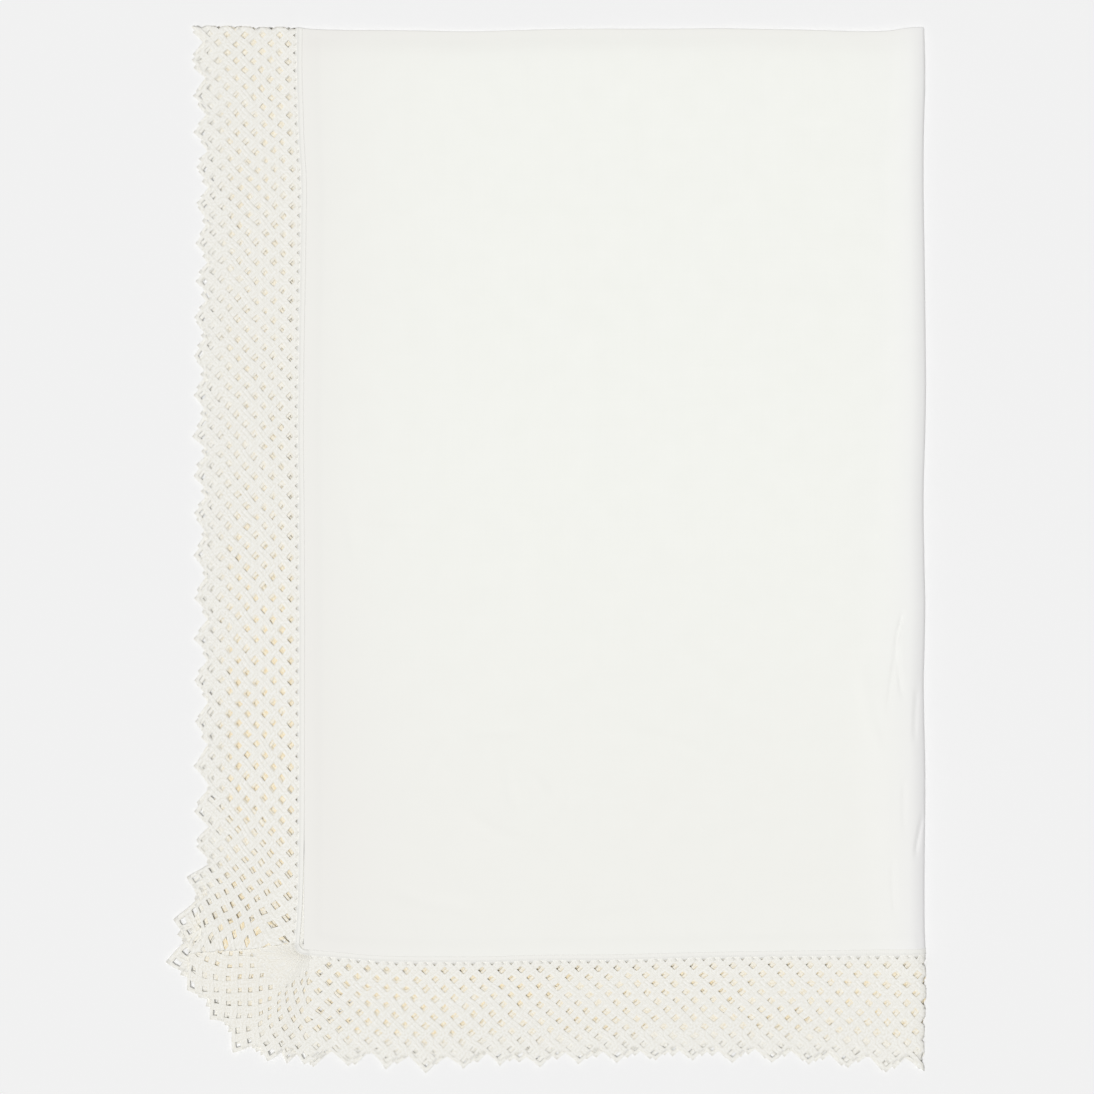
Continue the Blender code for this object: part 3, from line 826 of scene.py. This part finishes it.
# A braid that crosses a fold has more of its rings near it: how many of its rows they come
# from, and by how much they are drawn together
FOLD_ROWS = 0.9
FOLD_DRAW = 0.80

# Where the corners are gathered the braids stay as wide while their spacing shrinks, and their
# cotton gets a little painted warm shade
CROWDED_CELLS = 9.0
CROWDED_SHARE = 0.26
CROWDED_FALL = 0.7
CORNER_PAINTED_SHADE = 0.45


def crowding(ring_cell, row):
    """How many times wider the braids are, counted in cells: more near a gathered corner's
    middle, as a soft hump round the cloth, and less towards the tips, where the net fans out."""
    total = 0.0
    for number, layer in enumerate(LACE_LAYERS):
        cell = SIDE_CELLS + layer["corner_cells"] / 2
        middle = QUARTER_STARTS[number] + (QUARTER_CELLS[number] - cell if number % 2 else cell)
        total = total + hump(ring_cell - middle, CROWDED_CELLS)
    return 1.0 + CROWDED_SHARE * total * (1.0 - CROWDED_FALL * np.clip(row / ROWS, 0.0, 1.0))


def braids(starts, way, offset, end, steps_a_row):
    """Arrays for braids that run out from the heading on a slant, one for each starting cell.

    A braid runs half a cell round for each row out, to the side that way says, and lies offset
    to one side of its bar.  It passes over one crossing bar and under the next as a cosine.
    """
    count = len(starts)
    steps = np.linspace(0.0, end, round(end * steps_a_row) + 1)
    along = np.broadcast_to(steps, (count, len(steps)))
    folds = np.concatenate([QUARTER_STARTS + lap * RING_CELLS for lap in (0, -1, 1)])
    crossing = 2.0 * way * (folds[None, :] - starts[:, None])
    nearest = crossing[np.arange(count), np.argmin(np.abs(crossing - end / 2), axis=1)]
    crosses = (nearest > 0.0) & (nearest < end)
    spread = np.where(crosses, 1.0, 0.0)[:, None]
    pull = np.clip(nearest, 0.0, end)[:, None]
    near = np.exp(-((along - pull) / FOLD_ROWS) ** 2)
    along = along - spread * FOLD_DRAW * (along - pull) * near
    crowded = crowding(starts[:, None] + way * along / 2, along)[:, :, None]
    across = crowded * (column(BRAID_SECTION, "across") * BRAID_HALF_WIDTH + offset)
    height = column(BRAID_SECTION, "height") * BRAID_HALF_THICKNESS
    along = along[:, :, None]
    ring_cell = starts[:, None, None] + way * (along - across) / 2
    lift = way * WEAVE_HEIGHT * np.cos(math.pi * along) + height
    uv = BAR_LENGTH * np.stack(np.broadcast_arrays(along, across), axis=-1)
    return ring_cell, along + across, lift, uv


# Cotton inside the stack is painted a warm golden shade.  Beside the heading, where the hems hold
# the layers apart, it gets this share of it, and all of it from these rows on; towards the tips it
# fades within these rows.  A braid's section counts as its upper face above this share of its
# height
SHADE_AT_HEADING = 0.7
SHADE_ROWS = 2.5
FADING_FROM = ROWS - 4.5
FADING_ROWS = 3.5
UPPER_FACE = 0.3
# The inner layers' painted warm shade is weaker up the long side: by how much, from where on the
# cloth, and over what length
WEAKER_SHADE_UP_SIDE = 0.45
WEAKER_SHADE_FROM = -0.12
WEAKER_SHADE_OVER = 0.22


def painted_stack_shade(ring_cell, row, face, along_side):
    """How much painted warm shade the cotton gets: all inside the stack, none outside it or at the
    tips.

    face is one on a braid's right side, minus one on its wrong side.  The layer's upper side gets
    as much painted shade as its depth in the stack says, and its outer side, if it has one, none.
    Where the corners crowd the braids, even open cotton gets a little painted shade.
    """
    place = np.mod(ring_cell, RING_CELLS)
    layer = np.clip(np.searchsorted(QUARTER_STARTS, place, side="right") - 1, 0, 3)
    outer = column(LACE_LAYERS, "outer")[layer]
    shows = np.where(outer != 0, np.clip(0.5 + 0.5 * face * outer, 0.0, 1.0), 0.0)
    upwards = face * column(LACE_LAYERS, "upper")[layer] > UPPER_FACE
    inside = np.where(upwards, column(LACE_LAYERS, "depth")[layer], 1.0) * (1.0 - shows)
    inside = inside * (SHADE_AT_HEADING + (1.0 - SHADE_AT_HEADING) * ease(row / SHADE_ROWS))
    inside = inside * (1.0 - ease((row - FADING_FROM) / FADING_ROWS))
    inside = inside * (1.0 - WEAKER_SHADE_UP_SIDE * ease((along_side - WEAKER_SHADE_FROM) / WEAKER_SHADE_OVER))
    return inside + (1.0 - inside) * CORNER_PAINTED_SHADE * (crowding(ring_cell, row) - 1.0)


def net_piece(name, first_cell, last_cell, steps_a_row):
    """The net that starts between two cells of the heading, both slants, as one mesh."""
    cells = np.arange(first_cell, last_cell)
    to_tip, to_side = cells[cells % 2 == 0], cells[cells % 2 == 1]
    kinds = ((to_tip, -BRAID_OFFSET, TIP_END), (to_tip, BRAID_OFFSET, VALLEY_END),
             (to_side, -BRAID_OFFSET, INNER_END), (to_side, BRAID_OFFSET, INNER_END))
    points, faces, uvs, painted_shades, used = [], [], [], [], 0
    section_face = column(BRAID_SECTION, "height")
    for way in (1, -1):
        for starts, offset, end in kinds:
            ring_cell, row, height, uv = braids(starts, way, offset, end, steps_a_row)
            placed = lace_points(ring_cell, row, height)
            count, rings, sides = ring_cell.shape
            tubes = tube_faces(count, rings, sides, way > 0)
            faces.extend([[corner + used for corner in tube] for tube in tubes])
            points.append(placed.reshape(-1, 3))
            uvs.append(uv.reshape(-1, 2))
            painted_shades.append(painted_stack_shade(ring_cell, row, section_face, placed[..., 1]).ravel())
            used += count * rings * sides
    points, uvs, painted_shades = (np.concatenate(part) for part in (points, uvs, painted_shades))
    return cloth_mesh(name, points, faces, uvs, painted_shades)


# The fluff's noise and the knots', in waves a metre; the crowns' share of the relief and of the
# tint; and the stretch of the tint's own values that is drawn out from shade to light
FLUFF = 260.0
KNOTS = 420.0
CROWNS_IN_RELIEF = 0.5
CROWNS_IN_TINT = 0.1
KNOTS_SHADE = 0.34
KNOTS_LIGHT = 0.66


def plaited_strands():
    """A node group for a narrow braid of knotted strands.

    Two slanting sine waves that cross, one each way, make the strands' crowns as their product,
    a fine noise their fluff, and another, drawn out to full contrast, the lights and shades of
    their knots.
    """
    group, flat, pitch, outlet = thread_group("plaited strands")
    waves = [turned_ribs(group, flat, pitch, turn) for turn in (math.pi / 4, -math.pi / 4)]
    crowns = worked_out(group, "MULTIPLY", *waves)
    fluff, knots = noise(group, flat, FLUFF, 3.0), noise(group, flat, KNOTS, 1.0)
    height = worked_out(group, "MULTIPLY_ADD", crowns, CROWNS_IN_RELIEF, fluff)
    tint = worked_out(group, "MULTIPLY_ADD", crowns, CROWNS_IN_TINT, knots)
    contrast = feed(group, group.nodes.new("ShaderNodeMapRange"),
                    {"Value": tint, "From Min": KNOTS_SHADE, "From Max": KNOTS_LIGHT})
    feed(group, outlet, {"Tint": contrast.outputs["Result"], "Height": height})
    return group


STRAND_PITCH = 0.0005
COTTON_LIGHT = (0.968, 0.960, 0.920, 1.0)
COTTON_SHADE = (0.876, 0.857, 0.788, 1.0)
# The painted warm shade inside the lace's stack, speckled by the knots between these two
WARM_SHADE_LIGHT = (0.998, 0.958, 0.820, 1.0)
WARM_SHADE_DARK = (0.950, 0.785, 0.490, 1.0)
strands = plaited_strands()


def cotton_finish(name, shade, light):
    """Knotted cotton between a shade and a light, and painted a warm golden shade inside the
    stack.
    """
    finish, shader, tint = cloth_finish(
        name, strands, STRAND_PITCH, specular=0.15, roughness=(0.95, 0.75), bump=0.5)
    warm_shade = between(finish, tint, WARM_SHADE_DARK, WARM_SHADE_LIGHT)
    colour = between(finish, "painted_shade", between(finish, tint, shade, light), warm_shade)
    feed(finish.node_tree, shader, {"Base Color": colour})
    return finish


cotton = cotton_finish("natural cotton braid", COTTON_SHADE, COTTON_LIGHT)

# The pieces of net.  layer: its number round the cloth; first, last: the shares of the layer's
# cells that it runs between; steps: how many of its braids' rings there are to a row
NET_PIECES = table_of(
    "name layer first last steps",
    ("lace_net_third_layer", 0, 0.0, 1.0, 2),
    ("lace_net_second_layer", 1, 0.0, 1.0, 2),
    ("lace_net_bottom_layer", 2, 0.0, 1.0, 2),
    ("lace_net_top_end", 3, 0.0, 0.5, 4),
    ("lace_net_top_side", 3, 0.5, 1.0, 4))
for piece in NET_PIECES:
    start, count = QUARTER_STARTS[piece["layer"]], QUARTER_CELLS[piece["layer"]]
    first_cell = start + round(piece["first"] * count)
    last_cell = start + round(piece["last"] * count)
    net = net_piece(piece["name"], first_cell, last_cell, piece["steps"])
    net.data.materials.append(cotton)
    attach(net, "root")
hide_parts("lace_border")


# ----------------------------------------------------------
# The gathers: where the corners draw the net in so tightly that its holes close up, the cotton
# makes one thin sheet.  It is part of the same knotted strip as the net and lies in it.
# ----------------------------------------------------------
CELL_LENGTH = 0.0236
GATHERS_THICKNESS = 0.0003
GATHERS_HEIGHT = 0.0001
GATHERS_TUCK = 0.0004
GATHERS_COLUMNS = 60
GATHERS_ROWS = 10
# The cells by which it starts and ends past the gathered ones, and the row it starts from
GATHERS_FROM = -4.0
GATHERS_TO = 0.8
GATHERS_START = -1.1
# Its last row, and how that bulges outwards: by how much, where in the corner, over what cells
GATHERS_EDGE = 1.0
GATHERS_BULGE = 2.6
GATHERS_MIDDLE = 0.65
GATHERS_HALF = 7.0


def gathers_mesh(name):
    """A sheet on the lace's own middle surface, tucked in a little at the heading.

    It runs from under the hem out to a line that bulges outwards as a soft hump part of the way
    round each corner.
    """
    points, faces, uvs, used = [], [], [], 0
    for number, layer in enumerate(LACE_LAYERS):
        last_cell = SIDE_CELLS + layer["corner_cells"] + GATHERS_TO
        cells = np.linspace(SIDE_CELLS + GATHERS_FROM, last_cell, GATHERS_COLUMNS)
        middle = SIDE_CELLS + GATHERS_MIDDLE * layer["corner_cells"]
        edge = GATHERS_EDGE * ease(cells - SIDE_CELLS + 0.5)
        edge = edge + GATHERS_BULGE * hump(cells - middle, GATHERS_HALF)
        share = np.linspace(0.0, 1.0, GATHERS_ROWS)[:, None]
        row = GATHERS_START + share * (edge - GATHERS_START)
        cell = np.broadcast_to(QUARTER_CELLS[number] - cells if number % 2 else cells, row.shape)
        ring_cell = QUARTER_STARTS[number] + cell
        height = GATHERS_HEIGHT - GATHERS_TUCK * (1.0 - ease(row))
        points.append(lace_points(ring_cell, row, height).reshape(-1, 3))
        faces.extend((grid_faces(GATHERS_COLUMNS, GATHERS_ROWS) + used).tolist())
        uvs.append(np.stack([ring_cell * CELL_LENGTH, row * BAR_LENGTH], axis=-1).reshape(-1, 2))
        used += row.size
    return cloth_mesh(name, np.concatenate(points), faces, np.concatenate(uvs))


gathers = gathers_mesh("lace_corner_gathers")
gathers.data.materials.append(cotton)
gathers_body = gathers.modifiers.new("packed thickness", "SOLIDIFY")
gathers_body.thickness = GATHERS_THICKNESS
gathers_body.offset = 0.0
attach(gathers, "root")


# ----------------------------------------------------------
# The heading: a narrow flat cotton tape with a cord along each side, which gathers the net's
# starting ends.  Its inner cord is oversewn to the hem all round the cloth.
# ----------------------------------------------------------
# The tape's cross-section, once round, with the selvedge that backs the net's starting ends.
# out: from the hem; height: off the lace's middle surface
TAPE_SECTION = table_of(
    "out height",
    (-0.0012, 0.0001), (-0.0008, 0.0006), (0.0002, 0.0007), (0.0007, 0.0005),
    (0.0028, 0.0006), (0.0047, 0.0005), (0.0052, 0.0009), (0.006, 0.0009), (0.0065, 0.0001),
    (0.0088, -0.0003), (0.0088, -0.0005), (0.003, -0.0005), (0.0004, -0.0005))
STATIONS_A_CELL = 4
# At a fold, closer stations stand in for the even ones within a quarter of a cell
FOLD_CLEARANCE = 0.245
FOLD_STATIONS = np.linspace(-0.24, 0.24, 13)


def tape_mesh(name):
    """The tape's cross-section carried once round the cloth, with more stations at the folds."""
    even = np.arange(RING_CELLS * STATIONS_A_CELL) / STATIONS_A_CELL
    at_folds = np.mod((QUARTER_STARTS[:4, None] + FOLD_STATIONS).ravel(), RING_CELLS)
    from_folds = np.abs(np.mod(even[:, None] - QUARTER_STARTS + 1.0, RING_CELLS) - 1.0)
    clear = even[from_folds.min(axis=1) > FOLD_CLEARANCE]
    stations = np.unique(np.round(np.concatenate([clear, at_folds]), 5))
    row = (column(TAPE_SECTION, "out") - HEADING_WIDTH) * ROWS / END_REACH
    ring_cell, row = np.meshgrid(stations, row, indexing="ij")
    height = np.broadcast_to(column(TAPE_SECTION, "height"), row.shape)
    rings, sides = row.shape
    near = np.arange(rings)[:, None] * sides + np.arange(sides)
    next_ring, next_side = np.roll(near, -1, axis=0), np.roll(near, -1, axis=1)
    far = np.roll(next_side, -1, axis=0)
    faces = np.stack([near, next_ring, far, next_side], axis=-1).reshape(-1, 4)
    uv = np.stack([ring_cell * CELL_LENGTH, row * BAR_LENGTH], axis=-1)
    return cloth_mesh(name, lace_points(ring_cell, row, height), faces.tolist(), uv)


TAPE_LIGHT = (0.942, 0.936, 0.898, 1.0)
TAPE_SHADE = (0.925, 0.916, 0.870, 1.0)
heading = tape_mesh("lace_heading")
heading.data.materials.append(cotton_finish("bleached cotton tape", TAPE_SHADE, TAPE_LIGHT))
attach(heading, "root")
